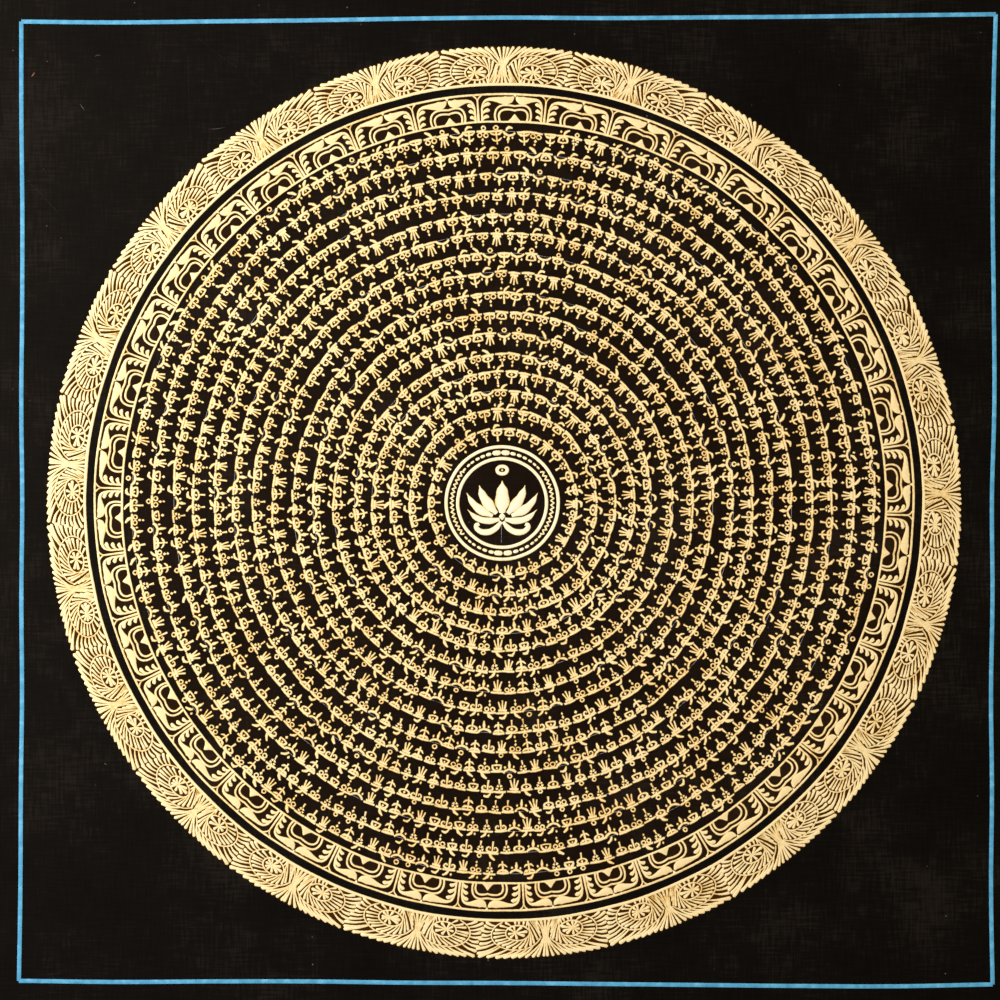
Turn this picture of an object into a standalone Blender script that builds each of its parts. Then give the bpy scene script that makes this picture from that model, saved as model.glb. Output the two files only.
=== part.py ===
"""A painted cotton canvas: one flat, square sheet of cloth, lying face up.

Metres, +Z up. The origin is at the middle of the underside, +X runs to the
painting's right, +Y to its top, and +Z points out of the painted face.
"""

import bpy
from mathutils import Vector

# Driving dimensions.
BORDER_SQUARE = 0.330       # side of the painted border line
BARE_MARGIN = 0.015         # bare cloth left outside that line, on every side
CLOTH_THICKNESS = 0.001     # cotton, its ground and the paint together
CORNER_RADIUS = 0.002       # corners worn a little round

# The cloth was cut by hand, so each side draws in a little between its corners.
SIDES = (
    # side, how far its middle draws in, where the deepest point lies along it
    ("bottom", 0.0007, 0.55),
    ("right", 0.0005, 0.40),
    ("top", 0.0009, 0.50),
    ("left", 0.0006, 0.62),
)
POINTS_A_SIDE = 8
POINTS_A_CORNER = 4

CANVAS_SIDE = BORDER_SQUARE + 2 * BARE_MARGIN

CLOTH_COLOR = (0.010, 0.008, 0.007, 1.0)
CLOTH_ROUGHNESS = 0.85


def clear_scene():
    """Removes whatever the file opened with."""
    for scene_object in list(bpy.data.objects):
        bpy.data.objects.remove(scene_object, do_unlink=True)


def make_collection(name):
    """A collection of that name in the scene."""
    collection = bpy.data.collections.new(name)
    bpy.context.scene.collection.children.link(collection)
    return collection


def cloth_material():
    """Cotton under a matt black ground."""
    material = bpy.data.materials.new("black_ground_cotton")
    material.use_nodes = True
    shader = material.node_tree.nodes["Principled BSDF"]
    shader.inputs["Base Color"].default_value = CLOTH_COLOR
    shader.inputs["Roughness"].default_value = CLOTH_ROUGHNESS
    shader.inputs["Metallic"].default_value = 0.0
    material.diffuse_color = CLOTH_COLOR
    return material


def draw_in(share, depth, deepest):
    """How far a side draws in at that share of its length: none at its corners, depth at deepest."""
    reach = deepest if share < deepest else 1.0 - deepest
    away = (share - deepest) / reach
    return depth * (1.0 - away * away)


def side_points(start, along, inward, depth, deepest):
    """The points of one hand-cut side, between its two corners' round ends."""
    straight = CANVAS_SIDE - 2 * CORNER_RADIUS
    points = []
    for step in range(POINTS_A_SIDE + 1):
        share = step / POINTS_A_SIDE
        point = start + along * (CORNER_RADIUS + share * straight)
        points.append(point + inward * draw_in(share, depth, deepest))
    return points


def corner_points(centre, out, along):
    """The points of a round corner, without its two ends, from the direction out towards along."""
    points = []
    for step in range(1, POINTS_A_CORNER):
        direction = out.lerp(along, step / POINTS_A_CORNER).normalized()
        points.append(centre + direction * CORNER_RADIUS)
    return points


def canvas_outline():
    """The cut edge of the canvas, anticlockwise from its lower left corner."""
    half = CANVAS_SIDE / 2
    corner = Vector((-half, -half, 0.0))
    along = Vector((1.0, 0.0, 0.0))
    inward = Vector((0.0, 1.0, 0.0))
    points = []
    for _, depth, deepest in SIDES:
        points += side_points(corner, along, inward, depth, deepest)
        corner = corner + along * CANVAS_SIDE
        rounding = corner - along * CORNER_RADIUS + inward * CORNER_RADIUS
        points += corner_points(rounding, -inward, along)
        along, inward = inward, -along
    return points


def make_canvas(collection):
    """The whole painting is one piece: a flat outline given the cloth's thickness."""
    curve = bpy.data.curves.new("painted_canvas", "CURVE")
    curve.dimensions = "2D"
    curve.fill_mode = "BOTH"
    curve.extrude = CLOTH_THICKNESS / 2
    outline = canvas_outline()
    spline = curve.splines.new("POLY")
    spline.points.add(len(outline) - 1)
    for spline_point, place in zip(spline.points, outline):
        spline_point.co = (place.x, place.y, 0.0, 1.0)
    spline.use_cyclic_u = True
    canvas = bpy.data.objects.new("painted_canvas", curve)
    canvas.location.z = CLOTH_THICKNESS / 2
    curve.materials.append(cloth_material())
    collection.objects.link(canvas)
    return canvas


clear_scene()
make_canvas(make_collection("thangka_painting"))
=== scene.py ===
import math
import random

import bmesh
import bpy
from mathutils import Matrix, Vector


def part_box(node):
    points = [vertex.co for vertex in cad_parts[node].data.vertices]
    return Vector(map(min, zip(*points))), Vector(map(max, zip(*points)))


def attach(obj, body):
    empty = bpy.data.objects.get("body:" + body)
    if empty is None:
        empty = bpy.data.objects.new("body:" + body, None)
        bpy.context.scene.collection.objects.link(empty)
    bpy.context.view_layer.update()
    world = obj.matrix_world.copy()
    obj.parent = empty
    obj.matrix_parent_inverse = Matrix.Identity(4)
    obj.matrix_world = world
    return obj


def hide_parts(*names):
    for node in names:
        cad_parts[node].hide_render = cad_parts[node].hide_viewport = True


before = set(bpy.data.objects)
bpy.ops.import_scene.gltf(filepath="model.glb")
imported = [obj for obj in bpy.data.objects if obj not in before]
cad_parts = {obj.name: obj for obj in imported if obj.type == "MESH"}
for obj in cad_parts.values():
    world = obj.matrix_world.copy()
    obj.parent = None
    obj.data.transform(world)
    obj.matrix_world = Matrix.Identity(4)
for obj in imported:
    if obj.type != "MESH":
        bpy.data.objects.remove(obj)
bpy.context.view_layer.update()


# The canvas.
# One square of plain-woven cotton, stiffened with glue and chalk, laid over with matt lampblack
# on its face and cut from its stretcher by hand. Its back and its cut edge are left bare.

MM = 0.001
canvas_low, canvas_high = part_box("painted_canvas")
CANVAS_SIDE = canvas_high.x - canvas_low.x
CLOTH_TOP = canvas_high.z
CLOTH_CELLS = 120
CLOTH_CREASE = 40     # degrees past which an edge of the sheet stays sharp
SIDE_DRAWS_IN = (0.7 * MM, 0.5 * MM, 0.9 * MM, 0.6 * MM)  # bottom, right, top, left, at mid-side
DRAW_IN_FADES = 9     # how fast that fades away from the cut edge

RIPPLES = (
    # height (mm), waves across the sheet, waves up the sheet, start of the wave
    (0.07, 1.3, 0.5, 0.4),
    (0.05, -0.7, 1.9, 1.9),
    (0.03, 2.6, 1.7, 4.0),
)
CORNER_LIFT = 0.9 * MM
CORNER_REACH = 40 * MM

RING_CENTRE = Vector((-0.8, -0.55))  # the middle of the painted rings, in millimetres
STAINS_AND_GLOW = (
    # radii in millimetres, and how strongly the ground between them is browned, by the gold's glue and
    # by painted glow from the gold
    (0.0, 128.6, 0.06),
    (130.3, 139.2, 0.18),
    (143.2, 154.9, 0.60),
)
STAIN_AND_GLOW_EDGE = 0.8      # how far the brown takes to fade at its rim
STAIN_AND_GLOW_REACH = 160.0   # the radius that the brown's ramp runs to

MAP_SHARE = 0.80      # share of the flat map's width that the faces seen from above take
UNDER_SHARE = 0.17    # share that the faces seen from below take, in the map's corner
MAP_GAP = 0.01
SEEN_FROM_ABOVE = 0.1  # a face counts as seen from above where its normal rises more than this
PAINTED_FACE = 0.3    # the black ground covers what faces up by more than this


def lie(place):
    """How far the sheet stands off the table there, because a painted cloth never lies dead flat."""
    height = 0.0
    for rise, across, up, start in RIPPLES:
        turn = math.tau * (across * place.x + up * place.y) / CANVAS_SIDE
        height += rise * MM * (1 + math.sin(turn + start))
    corner = CANVAS_SIDE / 2
    from_corner = math.hypot(corner - abs(place.x), corner - abs(place.y))
    lifted = max(0.0, 1 - from_corner / CORNER_REACH)
    return height + CORNER_LIFT * lifted * lifted


def cut_by_hand(vert):
    """Draws the sheet in a little between its corners, as scissors left it."""
    half = CANVAS_SIDE / 2
    across, up = vert.co.x / half, vert.co.y / half
    bottom, right, top, left = SIDE_DRAWS_IN
    vert.co.x -= (right if across > 0 else -left) * abs(across) ** DRAW_IN_FADES * (1 - up * up)
    vert.co.y -= (top if up > 0 else -bottom) * abs(up) ** DRAW_IN_FADES * (1 - across * across)


def map_flat(mesh):
    """A flat map of a piece: what faces up fills most of it, and what faces down has a corner."""
    layer = mesh.uv_layers.new(name="OFBake")
    for face in mesh.polygons:
        for loop in face.loop_indices:
            place = mesh.vertices[mesh.loops[loop].vertex_index].co
            across = place.x / CANVAS_SIDE + 0.5
            up = place.y / CANVAS_SIDE + 0.5
            if face.normal.z > SEEN_FROM_ABOVE:
                layer.data[loop].uv = (across * MAP_SHARE, up * MAP_SHARE)
            else:
                start = MAP_SHARE + MAP_GAP
                fold = (place.z - face.normal.z * MM) / CANVAS_SIDE
                spot = ((across + fold) * UNDER_SHARE, (up + fold) * UNDER_SHARE)
                layer.data[loop].uv = (start + spot[0], start + spot[1])


def srgb(hex_colour):
    """A colour as a hex string, as the linear numbers that a shader takes."""
    linear = []
    for place in (1, 3, 5):
        part = int(hex_colour[place:place + 2], 16) / 255
        linear.append(part / 12.92 if part <= 0.04045 else ((part + 0.055) / 1.055) ** 2.4)
    return (*linear, 1.0)


def add_node(tree, kind, inputs=None, **settings):
    """Adds a node with its own settings, and gives each named input a value or another's output."""
    node = tree.nodes.new(kind)
    for name, value in settings.items():
        setattr(node, name, value)
    for name, value in (inputs or {}).items():
        if isinstance(value, bpy.types.NodeSocket):
            tree.links.new(value, node.inputs[name])
        else:
            node.inputs[name].default_value = value
    return node


def set_stops(ramp, stops):
    """Sets a colour ramp's stops, each a place and a colour."""
    elements = ramp.color_ramp.elements
    while len(elements) > 1:
        elements.remove(elements[-1])
    elements[0].position, elements[0].color = stops[0]
    for place, colour in stops[1:]:
        elements.new(place).color = colour


def stain_and_glow_stops():
    """The brown's strengths, glue stain and painted glow together, along a ramp from the middle of the
    rings to the ramp's reach.
    """
    stops = []
    for inner, outer, strength in STAINS_AND_GLOW:
        grey = (strength, strength, strength, 1.0)
        if inner:
            stops.append(((inner - STAIN_AND_GLOW_EDGE) / STAIN_AND_GLOW_REACH, (0.0, 0.0, 0.0, 1.0)))
        stops.append((inner / STAIN_AND_GLOW_REACH, grey))
        stops.append((outer / STAIN_AND_GLOW_REACH, grey))
        stops.append(((outer + STAIN_AND_GLOW_EDGE) / STAIN_AND_GLOW_REACH, (0.0, 0.0, 0.0, 1.0)))
    return stops


def make_finish(name, roughness):
    """A new material, its node tree and its shader."""
    material = bpy.data.materials.new(name)
    material.use_nodes = True
    tree = material.node_tree
    shader = tree.nodes["Principled BSDF"]
    shader.inputs["Roughness"].default_value = roughness
    return material, tree, shader


def woven_streaks(tree, place):
    """The streaks that the cotton's threads leave both ways in the ground.

    The threads are about 0.45 mm apart, too fine to show, so their streaks are drawn at 0.8 mm.
    """
    thread, slub = 0.8 * MM, 9 * MM
    warp_scale = (1 / thread, 1 / slub, 1)
    weft_scale = (1 / slub, 1 / thread, 1)
    streaks = []
    for scale in (warp_scale, weft_scale):
        stretched = add_node(tree, "ShaderNodeMapping", {
            "Vector": place.outputs["Object"], "Scale": scale})
        streaks.append(add_node(tree, "ShaderNodeTexNoise", {
            "Vector": stretched.outputs[0], "Scale": 1.0, "Detail": 3.0}))
    return add_node(tree, "ShaderNodeMath", {
        0: streaks[0].outputs["Fac"], 1: streaks[1].outputs["Fac"]}, operation="ADD")


def cloudy_tone(tree, place, woven):
    """How light the ground is from place to place: its clouds, with the threads' streaks."""
    cloud = 38 * MM
    clouds = add_node(tree, "ShaderNodeTexNoise", {
        "Vector": place.outputs["Object"], "Scale": 1 / cloud, "Detail": 6.0, "Roughness": 0.6})
    half_woven = add_node(tree, "ShaderNodeMath", {
        0: woven.outputs[0], 1: 0.5}, operation="MULTIPLY")
    shade = add_node(tree, "ShaderNodeMath", {
        0: clouds.outputs["Fac"], 1: 1.0, 2: half_woven.outputs[0]}, operation="MULTIPLY_ADD")
    return add_node(tree, "ShaderNodeMapRange", {
        "Value": shade.outputs[0], "From Min": 0.8, "From Max": 1.2})


def browned_by_glue_and_glow(tree, place, black):
    """The black, browned under the painted rings where the gold's glue has soaked in, and with a
    painted glow that the bright gold throws on the ground around it.
    """
    away = add_node(tree, "ShaderNodeVectorMath", {
        0: place.outputs["Object"], 1: (RING_CENTRE.x * MM, RING_CENTRE.y * MM, CLOTH_TOP)},
        operation="DISTANCE")
    radius = add_node(tree, "ShaderNodeMapRange", {
        "Value": away.outputs["Value"], "From Max": STAIN_AND_GLOW_REACH * MM})
    stain_and_glow = add_node(tree, "ShaderNodeValToRGB", {"Fac": radius.outputs[0]})
    set_stops(stain_and_glow, stain_and_glow_stops())
    # painted glow: this brown over the black stands partly for the warm light that the bright gold
    # throws round it
    return add_node(tree, "ShaderNodeMix", {
        "Factor": stain_and_glow.outputs[0], 6: black.outputs[0], 7: srgb("#4a2a04")}, data_type="RGBA")


def dusted(tree, place, ground):
    """The ground with its specks of dust: at most one in a patch of it, and often none."""
    speck_gap = 6 * MM
    cells = add_node(tree, "ShaderNodeTexVoronoi", {
        "Vector": place.outputs["Object"], "Scale": 1 / speck_gap, "Randomness": 1.0})
    near = add_node(tree, "ShaderNodeMapRange", {
        "Value": cells.outputs["Distance"], "From Min": 0.02, "From Max": 0.05,
        "To Min": 1.0, "To Max": 0.0})
    draw = add_node(tree, "ShaderNodeSeparateXYZ", {0: cells.outputs["Color"]})
    kept = add_node(tree, "ShaderNodeMapRange", {
        "Value": draw.outputs["X"], "From Min": 0.6, "From Max": 1.0, "To Max": 0.4})
    dust = add_node(tree, "ShaderNodeMath", {
        0: near.outputs[0], 1: kept.outputs[0]}, operation="MULTIPLY")
    return add_node(tree, "ShaderNodeMix", {
        "Factor": dust.outputs[0], 6: ground.outputs[2], 7: srgb("#a39c8c")}, data_type="RGBA")


def black_ground_on_cotton():
    """Lampblack in glue on the face, matt and nearly even, over woven cotton left bare below."""
    material, tree, shader = make_finish("black_ground_on_cotton", 0.6)
    shader.inputs["Specular IOR Level"].default_value = 0.07
    shader.inputs["Specular Tint"].default_value = srgb("#f2dfc8")
    place = add_node(tree, "ShaderNodeTexCoord")
    woven = woven_streaks(tree, place)
    tone = cloudy_tone(tree, place, woven)
    black = add_node(tree, "ShaderNodeValToRGB", {"Fac": tone.outputs[0]})
    set_stops(black, ((0.0, srgb("#040303")), (0.6, srgb("#0a0807")), (1.0, srgb("#181512"))))
    ground = dusted(tree, place, browned_by_glue_and_glow(tree, place, black))
    bare = add_node(tree, "ShaderNodeValToRGB", {"Fac": tone.outputs[0]})
    set_stops(bare, ((0.0, srgb("#9c9079")), (1.0, srgb("#c9bea6"))))
    facing = add_node(tree, "ShaderNodeSeparateXYZ", {0: place.outputs["Normal"]})
    is_face = add_node(tree, "ShaderNodeMath", {
        0: facing.outputs["Z"], 1: PAINTED_FACE}, operation="GREATER_THAN")
    colour = add_node(tree, "ShaderNodeMix", {
        "Factor": is_face.outputs[0], 6: bare.outputs[0], 7: ground.outputs[2]}, data_type="RGBA")
    bump = add_node(tree, "ShaderNodeBump", {
        "Height": woven.outputs[0], "Strength": 0.2, "Distance": 0.05 * MM})
    tree.links.new(colour.outputs[2], shader.inputs["Base Color"])
    tree.links.new(bump.outputs[0], shader.inputs["Normal"])
    return material


def finish_piece(name, mesh, material):
    """Links a finished mesh as a piece, and hangs it from the root body as the sheet is."""
    mesh.materials.clear()
    mesh.materials.append(material)
    piece = bpy.data.objects.new(name, mesh)
    bpy.context.scene.collection.objects.link(piece)
    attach(piece, "root")
    return piece


def make_cloth():
    """The sheet: a fine grid of the cut's size, given its thickness and laid on the table."""
    cloth = bmesh.new()
    bmesh.ops.create_grid(cloth, x_segments=CLOTH_CELLS, y_segments=CLOTH_CELLS, size=CANVAS_SIDE / 2)
    for vert in cloth.verts:
        cut_by_hand(vert)
    bmesh.ops.translate(cloth, verts=cloth.verts, vec=(0, 0, CLOTH_TOP))
    grown = bmesh.ops.extrude_face_region(cloth, geom=cloth.faces[:], use_keep_orig=True)
    under = [part for part in grown["geom"] if isinstance(part, bmesh.types.BMVert)]
    bmesh.ops.translate(cloth, verts=under, vec=(0, 0, -CLOTH_TOP))
    bmesh.ops.recalc_face_normals(cloth, faces=cloth.faces[:])
    for vert in cloth.verts:
        vert.co.z += lie(vert.co)
    mesh = bpy.data.meshes.new("canvas_cloth")
    cloth.to_mesh(mesh)
    cloth.free()
    mesh.shade_smooth()
    mesh.set_sharp_from_angle(angle=math.radians(CLOTH_CREASE))
    map_flat(mesh)
    return finish_piece("canvas_cloth", mesh, black_ground_on_cotton())


canvas_cloth = make_cloth()
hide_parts("painted_canvas")


# The border line.
# A square ruled freehand with a flat brush in sky-blue gouache, chalk and azurite in gum. It dries
# matt and opaque, and wavers a little along each side.

BRUSH_SINK = 0.02 * MM       # how far a stroke's flat underside lies in the cloth's face
PAINT_RIDGE = 0.20           # a narrow stroke's height over half its width
FULL_BODY = 0.11 * MM        # paint never stands higher than this, however wide the stroke
FLAT_TOP = 0.55              # share of a stroke's width that dries level
WELD = 0.001 * MM            # a stroke's caps are welded to its sides within this
PAINT_CREASE = 30            # degrees past which an edge of the paint stays sharp

BORDER_WIDTH = 1.55
BORDER_STEPS = 16            # straight runs in the line between two of its points
BORDER_CORNERS = {
    # where the sides meet, in millimetres from the middle of the canvas
    "top left": (-165.4, 163.4), "top right": (166.8, 165.9),
    "bottom left": (-166.2, -163.6), "bottom right": (165.7, -164.8),
}
BORDER_SIDES = (
    # from and to a corner, and how far the line strays right or up at even steps between them
    ("top left", "top right", (0.0, -0.5, -0.4, -0.3, 0.0, 0.1, -0.3, -0.3, -0.3, -0.1, 0.0)),
    ("bottom left", "bottom right", (0.0, -0.3, 0.0, 0.1, -0.2, -0.2, -0.4, -0.6, -0.8, -0.8, 0.0)),
    ("bottom left", "top left", (0.0, 0.4, 0.5, 0.8, 0.5, 0.7, 0.3, 0.5, 0.5, 0.1, 0.0)),
    ("bottom right", "top right", (0.0, -0.6, -0.4, -0.8, -0.4, -0.7, 0.0, -0.3, -0.8, -0.7, 0.0)),
)


def new_strokes(name, flat_top=FLAT_TOP):
    """A curve that brush strokes are added to, with the section of a laid-down stroke."""
    section = bpy.data.curves.new(name + "_section", "CURVE")
    outline = section.splines.new("POLY")
    corners = [(-1, 0), (-flat_top, PAINT_RIDGE), (flat_top, PAINT_RIDGE), (1, 0)]
    if not flat_top:
        corners.pop(1)
    outline.points.add(len(corners) - 1)
    for point, (across, up) in zip(outline.points, corners):
        point.co = (across * MM, up * MM, 0, 1)
    outline.use_cyclic_u = True
    curve = bpy.data.curves.new(name, "CURVE")
    curve.dimensions = "3D"
    curve.twist_mode = "Z_UP"
    curve.bevel_mode = "OBJECT"
    curve.bevel_object = bpy.data.objects.new(name + "_section", section)
    curve.use_fill_caps = True
    return curve


def brush(curve, path, steps=2, closed=False):
    """Adds a stroke: its path holds the brush's places and widths, x, y and width in millimetres."""
    spline = curve.splines.new("BEZIER")
    spline.bezier_points.add(len(path) - 1)
    spline.resolution_u = steps
    spline.radius_interpolation = "EASE"
    spline.use_cyclic_u = closed
    for point, (x, y, width) in zip(spline.bezier_points, path):
        point.co = (x * MM, y * MM, 0)
        point.handle_left_type = "AUTO"
        point.handle_right_type = "AUTO"
        point.radius = width / 2


def dry_paint(curve, material):
    """Turns a curve's strokes into one mesh of paint, lying on the cloth as it lies."""
    name = curve.name
    wet = bpy.data.objects.new(name + "_wet", curve)
    bpy.context.scene.collection.objects.link(wet)
    bpy.context.view_layer.update()
    graph = bpy.context.evaluated_depsgraph_get()
    mesh = bpy.data.meshes.new_from_object(wet.evaluated_get(graph))
    mesh.name = name
    bpy.data.objects.remove(curve.bevel_object)
    bpy.data.objects.remove(wet)
    bpy.data.curves.remove(curve)
    paint = bmesh.new()
    paint.from_mesh(mesh)
    bmesh.ops.remove_doubles(paint, verts=paint.verts[:], dist=WELD)
    bmesh.ops.recalc_face_normals(paint, faces=paint.faces[:])
    body = paint.verts.layers.float.new("paint_body")
    for vert in paint.verts:
        height = FULL_BODY * math.tanh(vert.co.z / FULL_BODY)
        vert[body] = height / FULL_BODY
        vert.co.z = CLOTH_TOP - BRUSH_SINK + height + lie(vert.co)
    paint.to_mesh(mesh)
    paint.free()
    mesh.shade_smooth()
    mesh.set_sharp_from_angle(angle=math.radians(PAINT_CREASE))
    map_flat(mesh)
    finish_piece(name, mesh, material)


def sky_blue_gouache():
    """Matt opaque water paint: brush drag leaves it a little thin and dark in streaks."""
    drag = 2.5 * MM
    material, tree, shader = make_finish("sky_blue_gouache", 0.7)
    place = add_node(tree, "ShaderNodeTexCoord")
    streak = add_node(tree, "ShaderNodeTexNoise", {
        "Vector": place.outputs["Object"], "Scale": 1 / drag, "Detail": 5.0})
    colour = add_node(tree, "ShaderNodeValToRGB", {"Fac": streak.outputs["Fac"]})
    set_stops(colour, ((0.30, srgb("#3f8fb8")), (0.55, srgb("#50a6d2")), (0.75, srgb("#70bce2"))))
    tree.links.new(colour.outputs[0], shader.inputs["Base Color"])
    return material


def border_side(start, end, waver):
    """One side of the border line, from one corner to another."""
    (x_from, y_from), (x_to, y_to) = BORDER_CORNERS[start], BORDER_CORNERS[end]
    level = abs(x_to - x_from) > abs(y_to - y_from)
    path = []
    for step, stray in enumerate(waver):
        share = step / (len(waver) - 1)
        x = x_from + share * (x_to - x_from)
        y = y_from + share * (y_to - y_from)
        path.append((x, y + stray, BORDER_WIDTH) if level else (x + stray, y, BORDER_WIDTH))
    return path


border = new_strokes("border_line")
for side_start, side_end, side_waver in BORDER_SIDES:
    brush(border, border_side(side_start, side_end, side_waver), steps=BORDER_STEPS)
dry_paint(border, sky_blue_gouache())


# The scroll border.
# The mandala's outer ring, in pale gold: gold powder in glue, brushed over with a loaded fine
# brush. Each trunk fans left and right into a scroll that winds round a small flower.

RING_STRETCH = 0.2           # a ring's radius is this much more across, and as much less up
SCROLL_INNER = 142.8
SCROLL_DEPTH = 13.1
SCROLL_LINE_WIDTH = 1.1
SCROLL_HALF = 22.4           # a scroll's length along the ring, as it is drawn below
TRUNK_ANGLES = (             # degrees clockwise from the top, as the painter spaced them
    0.0, 17.0, 35.0, 53.5, 71.1, 89.0, 106.3, 124.7, 141.0, 158.0, 174.6,
    191.6, 208.9, 225.1, 242.6, 258.7, 275.1, 292.1, 309.1, 326.3, 343.0,
)
RING_STEPS = 96
RING_WAVER = 0.12            # a ring line strays this far in or out
WIDTH_SHAKE = 0.08           # a stroke's width strays by this share of itself
hand = random.Random(11)     # the painter's hand, with the same unevenness each run


def on_ring(radius, angle):
    """The place on the mandala at a radius and an angle clockwise from its top."""
    turn = math.radians(angle)
    radius += RING_STRETCH * -math.cos(2 * turn)
    return (RING_CENTRE.x + radius * math.sin(turn), RING_CENTRE.y + radius * math.cos(turn))


def shaky(amount):
    """A small stray of the hand, up to that much either way."""
    return hand.uniform(-amount, amount)


def pale_gold(name, full, coat=0.0):
    """Gold powder bound in glue: creamy where a full coat lies, and brown amber where it thins."""
    grain, pool = 0.9 * MM, 14 * MM
    body_share, grain_share, pool_share = 0.6, 0.5, 0.3
    material, tree, shader = make_finish(name, 0.55)
    shader.inputs["Metallic"].default_value = 0.2
    shader.inputs["Specular IOR Level"].default_value = 0.25
    place = add_node(tree, "ShaderNodeTexCoord")
    body = add_node(tree, "ShaderNodeAttribute", attribute_name="paint_body")
    patches = add_node(tree, "ShaderNodeTexNoise", {
        "Vector": place.outputs["Object"], "Scale": 1 / grain, "Detail": 4.0})
    pools = add_node(tree, "ShaderNodeTexNoise", {
        "Vector": place.outputs["Object"], "Scale": 1 / pool, "Detail": 2.0})
    laid = add_node(tree, "ShaderNodeMath", {
        0: body.outputs["Fac"], 1: body_share, 2: coat}, operation="MULTIPLY_ADD")
    uneven = add_node(tree, "ShaderNodeMath", {
        0: patches.outputs["Fac"], 1: grain_share, 2: laid.outputs[0]}, operation="MULTIPLY_ADD")
    thick = add_node(tree, "ShaderNodeMath", {
        0: pools.outputs["Fac"], 1: pool_share, 2: uneven.outputs[0]}, operation="MULTIPLY_ADD")
    colour = add_node(tree, "ShaderNodeValToRGB", {"Fac": thick.outputs[0]})
    set_stops(colour, (
        (0.38, srgb("#4a2700")), (0.50, srgb("#94600a")), (0.58, srgb("#d2a448")),
        (0.66, srgb("#eecd88")), (0.76, srgb("#f8e1a9")), (0.88, srgb("#feeebc")),
        (1.0, srgb(full))))
    bump = add_node(tree, "ShaderNodeBump", {
        "Height": patches.outputs["Fac"], "Strength": 0.3, "Distance": 0.03 * MM})
    tree.links.new(colour.outputs[0], shader.inputs["Base Color"])
    tree.links.new(bump.outputs[0], shader.inputs["Normal"])
    return material


gold = pale_gold("pale_gold_paint", "#fbe6b0", 0.05)


def ring_line(curve, radius, width):
    """A gold line right round the mandala, its width wavering with the brush."""
    path = []
    for step in range(RING_STEPS):
        place = on_ring(radius + shaky(RING_WAVER), 360 * step / RING_STEPS)
        path.append((*place, width * (1 + shaky(WIDTH_SHAKE))))
    brush(curve, path, steps=3, closed=True)


# A scroll is drawn to the right of its trunk, in millimetres along the ring and out from it.
FOOT = 0.6                            # the lowest that a touch goes, into the ring's own line
OVAL_CENTRE = Vector((10.0, 4.9))
OVAL_REACH = Vector((8.7, 5.2))
OVAL_START, OVAL_END, OVAL_STEP = 163, -75, -20   # angles anticlockwise from along the ring
OVAL_WIDTH = 0.5
COIL_CENTRE = Vector((9.5, 4.3))
COIL_REACH = Vector((4.2, 2.6))
COIL_ROOT, COIL_JOIN, COIL_END, COIL_STEP = 230, 190, -165, -23
COIL_SWEEP = 365                      # degrees of the coil that the hairs are set along
STEM_WIDTH = 0.55
FLOWER = Vector((10.3, 4.2))          # the middle of the flower inside the coil
FLOWER_PETALS = (8, 9, 9, 10)
FLOWER_LONG, FLOWER_TALL = 3.75, 2.4  # a petal's reach along the ring, and out from it
FLOWER_SKEW, FLOWER_DROOP = 1.05, 0.1  # it reaches further towards the trunk, and less outwards
HAIRS = 19
HAIR_WIDTH = 0.85
HAIR_TURN = 0.32                      # share of its angle that a hair's tip leans clockwise by
FOOT_TOUCHES = 4
FAN = 10                              # strokes over a scroll, of which the first make the trunk
FAN_GAP = 1.8                         # between the tips of its first two strokes
FAN_OPENS = 0.059                     # each tip is moved on by this times its number squared
TRUNK_BLADES = 4
TRUNK_WAIST = 5.8                     # how far out the trunk is at its narrowest
SEAM_TOUCHES = 8
SCROLL_LOAD = 1.20                    # a fully loaded brush leaves each touch this much wider


def oval_point(angle, size=1.0):
    """A place on the oval that bounds a scroll."""
    turn = math.radians(angle)
    return OVAL_CENTRE + Vector((
        OVAL_REACH.x * size * math.cos(turn), OVAL_REACH.y * size * math.sin(turn)))


def coil_point(angle):
    """A place on the stem: it climbs from the ring at its root, then coils round the flower."""
    climb = max(0.0, (angle - COIL_JOIN) / (COIL_ROOT - COIL_JOIN))
    turn = math.radians(min(angle, COIL_JOIN))
    return COIL_CENTRE + Vector((
        COIL_REACH.x * math.cos(turn) + 0.25 * climb * climb,
        COIL_REACH.y * math.sin(turn) - 3.3 * climb))


def touch(root, bend, tip, width, start=0.4):
    """One touch of a loaded brush: it starts as a hair, swells, and ends as a round drop."""
    end = tip + (tip - bend).normalized() * 0.35 * width
    return [(*root, start), (*bend, (start + width) / 2), (*tip, width), (*end, 0.3)]


def flower_touches():
    """The flower inside a scroll: eight to ten petals, longest and fattest towards the trunk."""
    count = hand.choice(FLOWER_PETALS)
    start = hand.uniform(0, 40)
    strokes = []
    for petal in range(count):
        turn = math.radians(petal * 360 / count + start + shaky(5))
        ways = Vector((math.cos(turn), math.sin(turn)))
        spoke = Vector((
            ways.x * (FLOWER_LONG - FLOWER_SKEW * ways.x),
            ways.y * (FLOWER_TALL - FLOWER_DROOP * ways.y)))
        spoke *= 1 + shaky(0.08)
        width = 0.88 + 0.2 * max(0.0, -ways.x)
        strokes.append(touch(FLOWER, FLOWER + spoke * 0.5, FLOWER + spoke * 0.84, width))
    return strokes


def coil_hairs():
    """The touches that spring from the coiled stem, out to the oval or down to the ring's line."""
    strokes = []
    for hair in range(HAIRS):
        share = hair / (HAIRS - 1)
        angle = COIL_ROOT - COIL_SWEEP * share * (1.12 - 0.12 * share) + shaky(2.5)
        root = coil_point(angle)
        tip = oval_point(angle - HAIR_TURN * max(0.0, angle), 0.91 + shaky(0.02))
        if angle < OVAL_END:
            tip = Vector((root.x + 0.25 * (root.x - COIL_CENTRE.x), FOOT))
        tip.y = max(tip.y, FOOT)
        bend = root.lerp(tip, 0.5) + Vector((-0.35, 0.25)) * max(0.0, angle) / COIL_ROOT
        strokes.append(touch(root, bend, tip, HAIR_WIDTH + shaky(0.08), 0.35))
    return strokes


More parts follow.
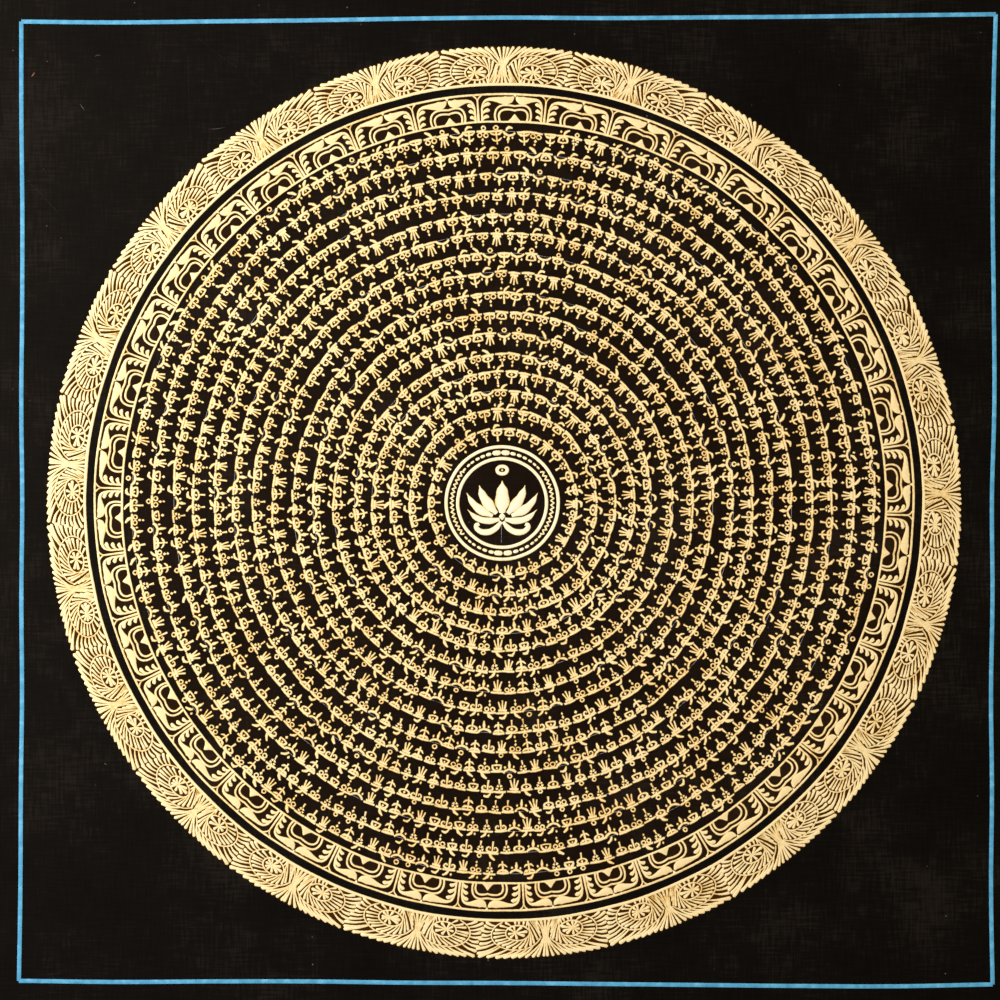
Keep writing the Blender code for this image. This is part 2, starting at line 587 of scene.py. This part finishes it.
def foot_touches(lean):
    """The slanting touches that fill the corner between a trunk's foot and its scroll's stem."""
    strokes = []
    for blade in range(FOOT_TOUCHES):
        root = Vector((5.1 - 0.6 * blade - 0.25 * lean, FOOT - 0.2))
        tip = Vector((1.75 + 0.12 * blade + 0.08 * blade * blade - 0.3 * lean, 6.2 - 1.45 * blade))
        strokes.append(touch(root, root.lerp(tip, 0.5) + Vector((-0.2, -0.15)), tip, 0.7, 0.3))
    return strokes


def half_scroll(lean):
    """One scroll: its oval, its coiled stem, and all that springs from them."""
    oval = [(*oval_point(angle), OVAL_WIDTH) for angle in range(OVAL_START, OVAL_END, OVAL_STEP)]
    stem = [(*coil_point(angle), STEM_WIDTH) for angle in range(COIL_ROOT, COIL_END, COIL_STEP)]
    return [oval, stem] + flower_touches() + coil_hairs() + foot_touches(lean)


def trunk_stroke(blade, lean, tip, width):
    """A stroke of the trunk, from its spread foot through its narrow waist and out to its tip."""
    root = Vector((0.3 + 0.85 * blade + (0.25 if blade % 2 else -0.1) - 0.5 * lean, 0.3))
    waist = Vector((0.1 + 0.22 * blade - 0.25 * lean, TRUNK_WAIST + 0.1 * blade))
    bend = waist.lerp(tip, 0.55) + Vector((-0.13, 0.13)) * blade
    end = tip + (tip - bend).normalized() * 0.35
    return [(*root, 0.5), (*waist, 0.5), (*bend, 0.6), (*tip, width), (*end, 0.3)]


def fan_stroke(blade, reach, tip, width):
    """A stroke of the fan beside the trunk, which rises from the top of the scroll's oval."""
    across = 0.84 * reach - 3.6
    rise = math.sqrt(1 - ((across - OVAL_CENTRE.x) / OVAL_REACH.x) ** 2)
    root = Vector((across, OVAL_CENTRE.y + OVAL_REACH.y * rise))
    bend = root.lerp(tip, 0.5) + Vector((-0.6, 0.5)) * (1 - 0.8 * blade / FAN)
    return touch(root, bend, tip, width, 0.45)


def seam_touches(seam_lean):
    """The touches on a scroll's far side, which run out to the seam with the next scroll."""
    strokes = []
    for blade in range(SEAM_TOUCHES):
        root = oval_point(45 - 11.5 * blade, 1.02)
        height = 11.1 - 1.6 * blade + 0.3 * seam_lean
        reach = SCROLL_HALF - 0.1 + seam_lean * (height - 6) / 6 + (0.35 if blade % 2 else -0.35)
        tip = Vector((reach - 3 * max(0.0, FOOT - height), max(height, FOOT) + shaky(0.12)))
        strokes.append(touch(root, root.lerp(tip, 0.5) + Vector((-0.1, 0.3)), tip, 1.05))
    return strokes


def half_plume(lean, seam_lean):
    """The strokes that fan from a trunk over its right-hand scroll, and on to the seam."""
    strokes = []
    for blade in range(FAN):
        opened = (FAN_OPENS + 0.011 * seam_lean) * blade * blade
        reach = 0.6 + FAN_GAP * blade + opened + 0.4 * lean * (1 - blade / FAN)
        tip = Vector((reach + shaky(0.15), SCROLL_DEPTH - 0.6 + shaky(0.12)))
        width = 1.0 + 0.02 * blade
        if blade < TRUNK_BLADES:
            strokes.append(trunk_stroke(blade, lean, tip, width))
        else:
            strokes.append(fan_stroke(blade, reach, tip, width))
    return strokes + seam_touches(seam_lean)


def paint_scrolls(curve):
    """Every trunk's pair of scrolls, each stretched to meet its neighbour half-way."""
    count = len(TRUNK_ANGLES)
    seam_leans = [1.0 + shaky(0.8) for _ in TRUNK_ANGLES]
    for trunk, angle in enumerate(TRUNK_ANGLES):
        lean = 1.3 + shaky(0.5)
        for side in (-1, 1):
            gap = (TRUNK_ANGLES[(trunk + side) % count] - angle) * side % 360
            stretch = gap / 2 / SCROLL_HALF
            seam_lean = side * seam_leans[trunk if side > 0 else trunk - 1]
            for stroke in half_scroll(lean * side) + half_plume(lean * side, seam_lean):
                path = []
                for x, y, width in stroke:
                    place = on_ring(SCROLL_INNER + y + shaky(0.05), angle + side * x * stretch)
                    path.append((*place, width * SCROLL_LOAD * (1 + shaky(WIDTH_SHAKE))))
                brush(curve, path)


scrolls = new_strokes("scroll_border")
ring_line(scrolls, SCROLL_INNER, SCROLL_LINE_WIDTH)
paint_scrolls(scrolls)
dry_paint(scrolls, gold)


# The petal border.
# The ring inside the scrolls is a row of lotus petals between two gold lines. Each petal is a
# framed panel with two leaf lobes, curls down its walls and a double arch over a small mound.

PETAL_INNER = 130.1
PETAL_OUTER = 139.4
PETAL_LINE_WIDTH = 0.85
PETAL_HALF = 11.3            # half a petal's width along the ring, as it is drawn below
PETAL_LOAD = 1.10            # a loaded brush leaves each touch this much wider
DIVIDER_ANGLES = (           # degrees clockwise from the top, as the painter spaced them
    6.0, 15.7, 25.0, 34.3, 43.9, 52.9, 62.1, 72.1, 81.8, 91.8, 102.1, 111.5, 120.0,
    129.2, 139.0, 149.6, 159.9, 168.0, 177.2, 186.6, 195.9, 205.8, 215.6, 225.2,
    234.7, 243.8, 253.1, 262.5, 272.1, 282.0, 291.7, 301.0, 310.4, 319.4, 328.6,
    337.5, 346.8, 356.2,
)
NECK_SHIFT = 1.25            # the two lobes meet this far clockwise of a petal's middle
PANEL = (
    # the left half of a petal, in millimetres from its middle and from its inner line:
    # the leaf lobe that runs on down the wall, the wall's three curls, and the two arches
    ((-0.4, 8.3, 0.7), (-1.3, 7.45, 2.2), (-2.6, 7.05, 3.1), (-4.6, 7.2, 2.2), (-6.8, 7.5, 1.35),
     (-8.7, 7.25, 0.95), (-9.75, 5.9, 0.8), (-10.1, 3.0, 0.75), (-10.15, 0.1, 0.8)),
    ((-10.0, 4.4, 0.5), (-9.3, 5.4, 0.9), (-8.1, 6.0, 1.5), (-7.4, 5.9, 0.6)),
    ((-10.1, 2.4, 0.5), (-9.5, 3.3, 0.9), (-8.4, 3.9, 1.5), (-7.7, 3.75, 0.6)),
    ((-10.1, 0.6, 0.5), (-9.6, 1.3, 0.9), (-8.7, 1.8, 1.4), (-8.0, 1.55, 0.6)),
    ((-5.85, 0.1, 0.75), (-6.15, 1.5, 0.75), (-6.0, 3.2, 0.75), (-5.2, 4.7, 0.75),
     (-3.8, 5.4, 0.75), (-2.3, 5.5, 0.75), (-1.0, 5.35, 0.75), (0.1, 5.2, 0.75)),
    ((-4.65, 0.1, 0.75), (-4.9, 1.3, 0.75), (-4.85, 2.5, 0.75), (-4.2, 3.5, 0.75),
     (-3.1, 4.0, 0.75), (-1.9, 4.05, 0.75), (-0.8, 3.9, 0.75), (0.1, 3.7, 0.75)),
)
NECK = ((0.0, 9.3, 1.3), (0.0, 8.8, 0.85), (0.0, 8.2, 0.35))  # ties the lobes to the outer line
MOUND = ((0.0, 2.5, 0.3), (0.0, 2.0, 1.1), (0.0, 1.2, 2.2), (0.0, 0.6, 3.5), (0.0, 0.1, 4.8))
DIVIDER = (
    # the wall between two petals, which forks at the outer line
    ((0.0, 7.6, 0.7), (0.0, 4.0, 0.8), (0.0, 0.1, 1.0)),
    ((0.0, 6.9, 0.5), (0.35, 8.1, 0.6), (1.4, 9.1, 0.7)),
    ((0.0, 6.9, 0.5), (-0.35, 8.1, 0.6), (-1.4, 9.1, 0.7)),
)


def paint_petals(curve):
    """Each petal fills the room between its two dividers."""
    count = len(DIVIDER_ANGLES)
    for petal, left in enumerate(DIVIDER_ANGLES):
        width = (DIVIDER_ANGLES[(petal + 1) % count] - left) % 360
        middle, stretch = left + width / 2, width / 2 / PETAL_HALF
        shift = NECK_SHIFT + shaky(0.25)
        rise = 1 + shaky(0.02)
        panel = [(stroke, side) for stroke in PANEL for side in (-1, 1)] + [(NECK, 1), (MOUND, 1)]
        for stroke, side in panel:
            path = []
            for x, y, wide in stroke:
                shifted = -side * x + shift * (1 - abs(x) / PETAL_HALF)
                spot = on_ring(PETAL_INNER + y * rise, middle + shifted * stretch)
                path.append((*spot, wide * PETAL_LOAD))
            brush(curve, path)
        for stroke in DIVIDER:
            brush(curve, [
                (*on_ring(PETAL_INNER + y, left + x * stretch), wide) for x, y, wide in stroke])


petals = new_strokes("petal_border")
ring_line(petals, PETAL_INNER, PETAL_LINE_WIDTH)
ring_line(petals, PETAL_OUTER, PETAL_LINE_WIDTH)
paint_petals(petals)
dry_paint(petals, pale_gold("pale_gold_paint_thinned", "#f9e3ab"))


# The garlands.
# Sixteen rings of hung jewellery fill the mandala: buds, bells, pearls and tassels that hang
# inwards from a thread, each a few touches of the same gold with a fine brush.

GARLAND_CENTRE = Vector((-1.2, -0.6))
GARLAND_RINGS = (
    # name of the piece, and the radii of its threads
    ("garlands_inmost", (25.1, 31.9, 38.2, 44.7, 50.6, 57.8)),
    ("garlands_inner", (64.8, 71.5, 78.6, 85.1)),
    ("garlands_outer", (91.9, 98.4, 105.5)),
    ("garlands_outmost", (112.2, 119.5, 126.6)),
)
PENDANT_PITCH = 4.6          # from one pendant to the next along a thread
GARLAND_LOAD = 1.20          # a loaded brush leaves each touch this much wider
PLACE_STRAY = 0.06           # how far a pendant strays along its thread, as a share of the pitch
TILT_STRAY, SIZE_STRAY, LIFT_STRAY = 0.10, 0.07, 0.28
TOUCH_STRAY = 0.07
TOUCH_WIDTH_STRAY = 0.12
RINGLET_WIDTH = 0.65


def both(stroke):
    """A stroke and its mirror image."""
    return [stroke, [(-x, y, width) for x, y, width in stroke]]


def petals_round(x, y, near, far, count, width):
    """Short fat touches round a middle, as a small flower."""
    made = []
    for petal in range(count):
        turn = math.tau * petal / count + math.pi / 2
        ways = (math.cos(turn), math.sin(turn))
        made.append([(x + near * ways[0], y + near * ways[1], width * 0.6),
                     (x + far * ways[0], y + far * ways[1], width)])
    return made


def bead(x, y, size):
    """A touch that dries as a round bead."""
    return [(x, y - size * 0.5, size * 0.3), (x, y, size), (x, y + size * 0.5, size * 0.3)]


def ringlet(x, y, size):
    """A small open loop, as a path that starts and ends at one place."""
    turns = [math.tau * part / 4 for part in range(5)]
    return [
        (x + size * math.sin(turn), y + size * math.cos(turn), RINGLET_WIDTH) for turn in turns]


# Each pendant is a list of strokes, in millimetres along its thread and out from it.
THREAD = [(-2.15, 0.0, 0.8), (0.0, 0.05, 1.0), (2.1, 0.0, 0.8)]
BUD = both([(0.0, -0.2, 0.8), (1.5, -0.7, 0.95), (1.3, -1.6, 0.8), (0.0, -2.0, 0.65)]) + [
    THREAD, bead(0.0, -1.1, 1.1), [(0.0, -2.0, 0.65), (-0.15, -4.1, 0.85)]]
SPRIG = both([(0.0, -1.1, 0.6), (1.0, -0.9, 1.1), (1.9, -0.4, 0.5)]) + both(
    [(0.0, -3.1, 0.6), (0.9, -2.8, 0.9), (1.6, -2.1, 0.45)]) + [
    THREAD, [(0.0, 0.1, 0.9), (0.0, -2.4, 0.75), (0.05, -4.2, 0.7)]]
BELL = both([(0.1, -0.2, 0.9), (1.1, -0.7, 1.0), (1.5, -1.9, 0.8)]) + [
    THREAD, [(-1.7, -1.95, 0.65), (0.0, -2.15, 0.75), (1.7, -1.95, 0.65)], bead(0.0, -1.1, 0.9),
    bead(0.0, -3.4, 1.15)]
TASSEL = both([(0.4, -0.7, 0.75), (0.8, -2.0, 0.75), (1.3, -3.7, 0.65)]) + [
    THREAD, [(-1.4, -0.8, 1.0), (1.4, -0.8, 1.0)], [(0.0, -0.8, 0.75), (0.0, -4.2, 0.7)]]
BLOSSOM = petals_round(0.0, -1.2, 0.4, 1.15, 5, 1.1) + [THREAD, [(0.0, -2.4, 0.55), (0.1, -4.1, 0.85)]]
SWAG = both([(2.2, 0.05, 0.85), (1.4, -0.8, 1.0), (0.0, -1.2, 0.9)]) + [
    [(0.0, -1.3, 0.7), (0.0, -2.6, 1.2), (0.0, -4.0, 0.5)], bead(1.5, -1.9, 1.0), bead(-1.5, -1.9, 1.0)]
LOOPS = [THREAD, ringlet(-1.0, -1.1, 0.75), ringlet(1.0, -1.1, 0.75), bead(0.0, -2.7, 1.15),
         bead(0.0, -3.9, 0.95)]
CURLS = both([(0.2, -0.3, 0.8), (1.6, -0.6, 0.9), (1.7, -1.6, 0.75), (0.7, -1.8, 0.65),
              (0.9, -1.2, 0.4)]) + [THREAD, [(0.0, -0.4, 0.7), (0.0, -3.9, 0.85)]]
PENDANTS = (BUD, SPRIG, BELL, TASSEL, BLOSSOM, SWAG, LOOPS, CURLS)

# A crest stands on the thread over most of them, and over some there is none.
LEAF = [[(0.1, 0.1, 0.7), (0.7, 1.2, 1.1), (2.0, 2.0, 0.7)], bead(-0.8, 1.4, 1.0)]
ARCH = [[(-1.2, 0.3, 0.6), (-0.3, 1.7, 1.1), (1.2, 1.5, 0.7)]]
FLAME = [[(0.8, 0.0, 0.7), (0.1, 1.2, 1.2), (-1.3, 2.2, 0.75)]]
HOOP = [ringlet(0.1, 1.2, 0.7)]
BARE = []
CRESTS = (LEAF, ARCH, FLAME, HOOP, BARE, BARE)


def hang(curve, pendant, radius, angle):
    """Paints one pendant at its place on a thread, hanging towards the mandala's middle."""
    turn = math.radians(angle)
    out = Vector((math.sin(turn), math.cos(turn)))
    along = Vector((out.y, -out.x))
    tilt, size, lift = shaky(TILT_STRAY), 1 + shaky(SIZE_STRAY), shaky(LIFT_STRAY)
    for stroke in pendant:
        path = []
        for x, y, width in stroke:
            across = size * (x - tilt * y) + shaky(TOUCH_STRAY)
            up = size * (y + tilt * x) + shaky(TOUCH_STRAY)
            place = GARLAND_CENTRE + out * (radius + lift + up) + along * across
            wide = width * GARLAND_LOAD * (1 + shaky(TOUCH_WIDTH_STRAY))
            path.append((place.x, place.y, wide))
        brush(curve, path)


for ring_name, radii in GARLAND_RINGS:
    garland = new_strokes(ring_name, flat_top=0)
    for thread_radius in radii:
        count = round(math.tau * thread_radius / PENDANT_PITCH)
        first = hand.uniform(0, 360)
        kind = 0
        for step in range(count):
            kind = (kind + hand.choice((1, 2, 3, 4, 5))) % len(PENDANTS)
            at = first + 360 * (step + shaky(PLACE_STRAY)) / count
            hang(garland, PENDANTS[kind] + hand.choice(CRESTS), thread_radius, at)
    dry_paint(garland, gold)


# The medallion.
# The middle of the mandala: a string of beads between two gold rings, large at top and bottom and
# run together at the sides, round a lotus flower with a jewel over it.

MEDALLION_CENTRE = Vector((-1.45, -0.7))
MEDALLION_RINGS = ((19.15, 1.25), (15.15, 1.25))
BEAD_RADIUS = 17.15
BEAD_TURN = -1.2             # degrees clockwise that the whole string is out of true
BEADS = (
    # degrees from the top or bottom, length along the ring, width
    (5.4, 2.95, 2.0), (14.2, 1.9, 1.35), (21.5, 1.7, 1.2), (28.4, 1.6, 1.1), (35.0, 1.5, 1.0),
    (41.2, 1.4, 0.95), (47.0, 1.4, 0.85),
)
ZIGZAG_START, ZIGZAG_END = 51, 129
ZIGZAG_TEETH = 15
ZIGZAG_SWING = 0.55
ZIGZAG_WIDTH = 0.7
LOTUS = (
    # the right half of the flower, from its middle petal outwards and down
    ((0.0, -3.4, 2.2), (0.0, 0.2, 5.6), (0.0, 4.0, 4.3), (0.0, 7.6, 0.3)),
    ((1.9, -3.6, 1.6), (4.7, -0.4, 4.1), (6.7, 2.7, 2.9), (7.8, 6.0, 0.3)),
    ((3.2, -4.4, 1.4), (7.2, -2.5, 3.4), (10.1, 0.1, 2.3), (12.1, 3.4, 0.3)),
    ((0.9, -5.6, 1.4), (4.6, -6.1, 2.5), (8.7, -5.1, 2.2), (11.8, -2.3, 0.3)),
    ((0.3, -6.4, 1.3), (2.4, -8.8, 2.1), (5.4, -10.0, 2.3), (8.4, -9.0, 1.9), (8.8, -7.6, 1.7),
     (7.8, -7.2, 1.3)),
)
CALYX = (-4.6, 2.4)          # the bead that joins the petals: its place up the middle, its size
JEWEL_CENTRE = 11.2
JEWEL_REACH = (1.75, 1.25)
JEWEL_TURNS = (0, 1.05, 2.09, 3.14, 4.19, 5.24)  # six even steps round, in radians
JEWEL_WIDTH = 1.35
JEWEL_HEART = 0.8


def medallion_spot(radius, angle):
    """A place at a radius and an angle clockwise from the top, about the medallion's own middle."""
    turn = math.radians(angle)
    ways = Vector((math.sin(turn), math.cos(turn)))
    return tuple(MEDALLION_CENTRE + radius * ways)


def paint_bead_string(curve):
    """The beads: seven to each side of the top and the bottom, smaller as they go."""
    for middle in (0, 180):
        for side in (-1, 1):
            for away, length, width in BEADS:
                angle = middle + side * (away + shaky(0.5)) + BEAD_TURN
                reach = math.degrees(length / 2 / BEAD_RADIUS)
                brush(curve, [
                    (*medallion_spot(BEAD_RADIUS, angle + part * reach), width * share)
                    for part, share in ((-1, 0.2), (-0.75, 0.8), (0, 1), (0.75, 0.8), (1, 0.2))])


def paint_zigzags(curve):
    """The run of tiny teeth that stands for the beads on either side."""
    for side in (0, 180):
        path = []
        for tooth in range(2 * ZIGZAG_TEETH + 1):
            share = (ZIGZAG_END - ZIGZAG_START) * tooth / (2 * ZIGZAG_TEETH)
            swing = ZIGZAG_SWING if tooth % 2 else -ZIGZAG_SWING
            spot = medallion_spot(BEAD_RADIUS + swing, side + ZIGZAG_START + share)
            path.append((*spot, ZIGZAG_WIDTH))
        brush(curve, path)


def paint_medallion(curve):
    """Rings, beads, zigzags, lotus and jewel, in the order that they were painted."""
    for radius, width in MEDALLION_RINGS:
        brush(curve, [
            (*medallion_spot(radius + shaky(0.05), angle), width) for angle in range(0, 360, 10)],
            steps=3, closed=True)
    paint_bead_string(curve)
    paint_zigzags(curve)
    for stroke in LOTUS:
        on_middle = stroke[0][0] == 0
        for half in ([1] if on_middle else [-1, 1]):
            brush(curve, [
                (MEDALLION_CENTRE.x + half * x, MEDALLION_CENTRE.y + y, width)
                for x, y, width in stroke], steps=4)
    jewel = MEDALLION_CENTRE + Vector((0, JEWEL_CENTRE))
    brush(curve, [
        (jewel.x + JEWEL_REACH[0] * math.sin(turn), jewel.y + JEWEL_REACH[1] * math.cos(turn),
         JEWEL_WIDTH) for turn in JEWEL_TURNS], steps=4, closed=True)
    brush(curve, bead(jewel.x, jewel.y, JEWEL_HEART))
    brush(curve, bead(MEDALLION_CENTRE.x, MEDALLION_CENTRE.y + CALYX[0], CALYX[1]), steps=3)


medallion = new_strokes("medallion")
paint_medallion(medallion)
dry_paint(medallion, pale_gold("full_gold_paint", "#fff6d8", 0.12))


# The pencil lines.
# Before painting, each row's circle was drawn round with a hard grey pencil on a string, with a
# plumb line through the middle. They still show faintly between the touches of gold.

PENCIL_WIDTH = 0.30
PENCIL_STEPS = 72
PLUMB_LINE = ((-1.7, -8.2), (-1.75, -14.2))  # the stretch that shows under the flower
GUIDE_LINES = (
    # short runs of the first laying out, left in the corner at the upper left
    ((-108.6, 151.9), (-108.3, 137.0), (-107.6, 123.1)),
    ((-105.2, 157.8), (-99.4, 153.0), (-91.8, 147.6), (-85.7, 141.8), (-78.6, 135.3)),
    ((-78.2, 157.1), (-74.5, 153.0), (-71.0, 148.3)),
    ((-163.2, 109.4), (-152.2, 97.5)),
)
GUIDE_WIDTH = 0.22


def pencil_grey(name, hex_colour, cover):
    """Graphite rubbed on a dull black ground: it catches only on the high threads."""
    grain = 0.7 * MM
    material, tree, shader = make_finish(name, 0.5)
    place = add_node(tree, "ShaderNodeTexCoord")
    catch = add_node(tree, "ShaderNodeTexNoise", {
        "Vector": place.outputs["Object"], "Scale": 1 / grain, "Detail": 3.0})
    colour = add_node(tree, "ShaderNodeValToRGB", {"Fac": catch.outputs["Fac"]})
    set_stops(colour, ((0.35, srgb("#12100d")), (1 - cover, srgb(hex_colour))))
    tree.links.new(colour.outputs[0], shader.inputs["Base Color"])
    return material


pencil = new_strokes("pencil_circles", flat_top=0)
for _, radii in GARLAND_RINGS:
    for radius in radii:
        path = []
        for step in range(PENCIL_STEPS):
            turn = math.tau * step / PENCIL_STEPS
            path.append((GARLAND_CENTRE.x + radius * math.sin(turn),
                         GARLAND_CENTRE.y + radius * math.cos(turn), PENCIL_WIDTH))
        brush(pencil, path, closed=True)
brush(pencil, [(x, y, PENCIL_WIDTH) for x, y in PLUMB_LINE])
dry_paint(pencil, pencil_grey("grey_pencil", "#a9aebb", 0.52))

guides = new_strokes("guide_lines", flat_top=0)
for run in GUIDE_LINES:
    brush(guides, [(x, y, GUIDE_WIDTH) for x, y in run], steps=4)
dry_paint(guides, pencil_grey("faint_grey_pencil", "#282521", 0.45))


# The lint.
# A few cotton fibres and one brown fleck of husk lie on the painted face. They are stuck in the
# glue of the ground, as they fell on it while it dried.

LINT = (
    ((-140.4, 151.6, 0.25), (-139.3, 152.0, 0.35), (-138.0, 151.9, 0.2)),
    ((-145.4, 135.3, 0.25), (-144.6, 134.2, 0.45), (-143.9, 133.2, 0.25)),
    ((-101.9, 126.7, 0.2), (-98.7, 126.9, 0.35), (-95.7, 127.4, 0.2)),
    ((-137.1, -89.4, 0.3), (-136.7, -89.7, 0.5), (-136.3, -89.9, 0.3)),
)
FLECK = ((-161.9, 144.6, 0.4), (-161.4, 145.3, 0.75), (-160.9, 146.1, 0.4))

lint = new_strokes("cotton_lint", flat_top=0)
for fibre in LINT:
    brush(lint, fibre)
lint_finish, _, lint_shader = make_finish("grey_cotton_fibre", 0.9)
lint_shader.inputs["Base Color"].default_value = srgb("#56524d")
dry_paint(lint, lint_finish)

fleck = new_strokes("brown_fleck", flat_top=0)
brush(fleck, FLECK)
fleck_finish, _, fleck_shader = make_finish("dry_brown_husk", 0.8)
fleck_shader.inputs["Base Color"].default_value = srgb("#6f472b")
dry_paint(fleck, fleck_finish)


# The table, the light and the camera.
# A plain pale table under the sheet, a broad soft light from the upper left as from a window, a
# weak warm fill from the right, and a long lens straight above, which frames the painted square.

TABLE_HALF = 1.2
LIGHTS = (
    # name, place and side in metres, watts, colour
    ("window_light", (-0.85, 0.26, 1.0), 0.5, 23, (1.0, 0.97, 0.96)),
    ("fill_light", (1.3, -0.1, 0.9), 0.8, 6, (1.0, 0.70, 0.24)),
)
WALL_LIGHT, CEILING_LIGHT = 0.5, 0.13
WALL_TOP = 0.35              # how far up, from level to straight up, the walls' light fades out
ROOM_COLOUR = (1.0, 0.90, 0.76, 1.0)
FRAME_WIDTH = 341 * MM       # how much of the canvas the picture takes in, and its middle
FRAME_MIDDLE = Vector((-2.2, 0.3)) * MM
LENS, SENSOR = 100, 36


def make_table():
    """A plain board with a matt pale paint, which runs well past the picture on every side."""
    board = bmesh.new()
    bmesh.ops.create_grid(board, x_segments=1, y_segments=1, size=TABLE_HALF)
    mesh = bpy.data.meshes.new("table")
    board.to_mesh(mesh)
    board.free()
    material, _, shader = make_finish("pale_matt_board", 0.9)
    shader.inputs["Base Color"].default_value = srgb("#cfccc6")
    shader.inputs["Specular IOR Level"].default_value = 0.05
    mesh.materials.append(material)
    table = bpy.data.objects.new("table", mesh)
    bpy.context.scene.collection.objects.link(table)


def add_light(name, place, size, power, colour):
    """A soft square light that looks at the middle of the sheet."""
    light = bpy.data.lights.new(name, "AREA")
    light.size = size
    light.energy = power
    light.color = colour
    lamp = bpy.data.objects.new(name, light)
    lamp.location = place
    lamp.rotation_euler = (-Vector(place)).to_track_quat("-Z", "Y").to_euler()
    bpy.context.scene.collection.objects.link(lamp)


def light_the_room():
    """The room's own light: pale walls low down all round, and a dim ceiling over the table."""
    world = bpy.data.worlds.new("studio")
    bpy.context.scene.world = world
    world.use_nodes = True
    tree = world.node_tree
    place = add_node(tree, "ShaderNodeTexCoord")
    ways = add_node(tree, "ShaderNodeSeparateXYZ", {0: place.outputs["Object"]})
    strength = add_node(tree, "ShaderNodeMapRange", {
        "Value": ways.outputs["Z"], "From Min": 0.0, "From Max": WALL_TOP,
        "To Min": WALL_LIGHT, "To Max": CEILING_LIGHT})
    room = tree.nodes["Background"]
    room.inputs["Color"].default_value = ROOM_COLOUR
    tree.links.new(strength.outputs[0], room.inputs["Strength"])


make_table()
for light_values in LIGHTS:
    add_light(*light_values)
light_the_room()
bpy.context.scene.view_settings.view_transform = "Standard"

camera_data = bpy.data.cameras.new("camera")
camera_data.lens = LENS
camera_data.sensor_width = SENSOR
camera = bpy.data.objects.new("camera", camera_data)
camera.location = (FRAME_MIDDLE.x, FRAME_MIDDLE.y, CLOTH_TOP + FRAME_WIDTH * LENS / SENSOR)
bpy.context.scene.collection.objects.link(camera)
bpy.context.scene.camera = camera
